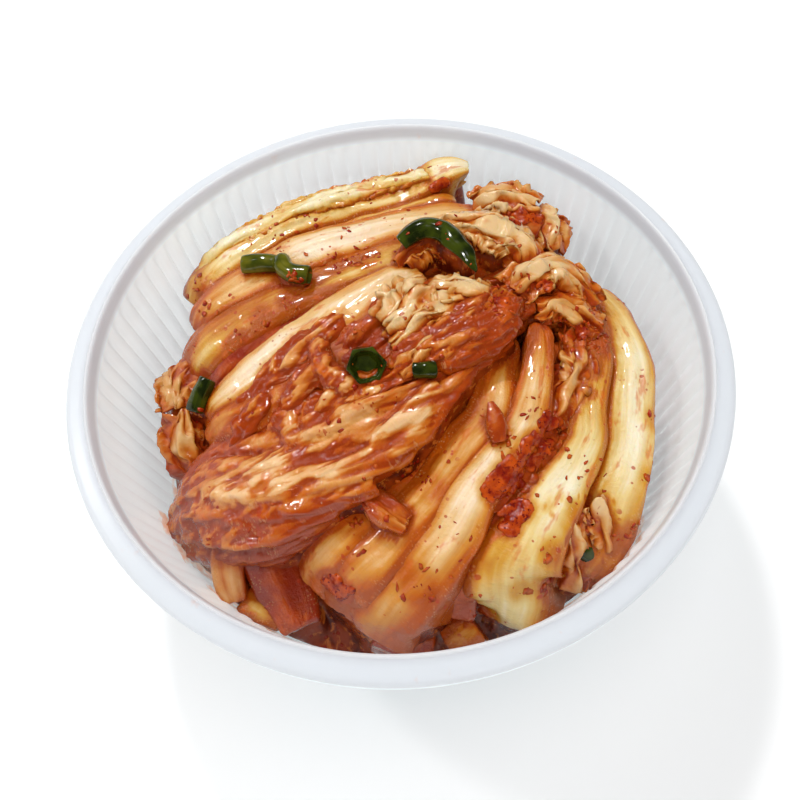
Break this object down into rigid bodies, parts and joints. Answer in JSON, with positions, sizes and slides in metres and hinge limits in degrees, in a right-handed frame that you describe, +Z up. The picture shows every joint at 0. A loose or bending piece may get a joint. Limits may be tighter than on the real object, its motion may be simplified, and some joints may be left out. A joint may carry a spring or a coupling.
{
  "type": "bowl of cabbage kimchi",
  "caption": "Round disposable plastic bowl heaped with cabbage kimchi: nested ribs, folded leaves and cut scallion in chilli sauce.",
  "frame": {"origin": "centre of the bowl's flat base, on the surface it stands on", "axes": "+Z up out of the bowl; the wide cabbage wedge lies at +X, the second wedge at -X and +Y, and the glossy folded leaf runs between them from -X, -Y"},
  "size_m": [0.13, 0.13, 0.056],
  "materials": {
    "milky_plastic": "milky translucent, satin",
    "cabbage_rib": "wet, cream to ochre, chilli stained",
    "cabbage_leaf": "wet, glossy, orange stained",
    "spiced_heap": "wet dark red sauce",
    "scallion": "wet dark green",
    "radish": "wet orange"
  },
  "bodies": {
    "root": {"bowl": "milky_plastic", "kimchi_heap": "spiced_heap", "radish_wedge": "radish", "right_rib_1": "cabbage_rib", "right_rib_2": "cabbage_rib", "right_rib_3": "cabbage_rib", "right_rib_4": "cabbage_rib", "right_rib_5": "cabbage_rib", "right_rib_6": "cabbage_rib", "left_rib_1": "cabbage_rib", "left_rib_2": "cabbage_rib", "left_rib_3": "cabbage_rib", "left_rib_4": "cabbage_rib", "left_rib_5": "cabbage_rib", "left_rib_6": "cabbage_rib", "left_rib_7": "cabbage_rib", "front_leaf": "cabbage_leaf", "red_leaf": "cabbage_leaf", "middle_leaf": "cabbage_leaf", "curled_leaf": "cabbage_leaf", "back_leaf": "cabbage_leaf", "side_leaf": "cabbage_leaf", "crumpled_leaf": "cabbage_leaf", "torn_leaf": "cabbage_leaf", "leaf_flap": "cabbage_leaf", "stem_bit_1": "cabbage_rib", "stem_bit_2": "cabbage_rib", "stem_bit_3": "cabbage_leaf", "stem_bit_4": "cabbage_rib", "stem_bit_5": "cabbage_leaf", "scallion_1": "scallion", "scallion_2": "scallion", "scallion_3": "scallion", "scallion_4": "scallion", "scallion_5": "scallion", "scallion_6": "scallion", "scallion_7": "scallion"}
  },
  "joints": []
}
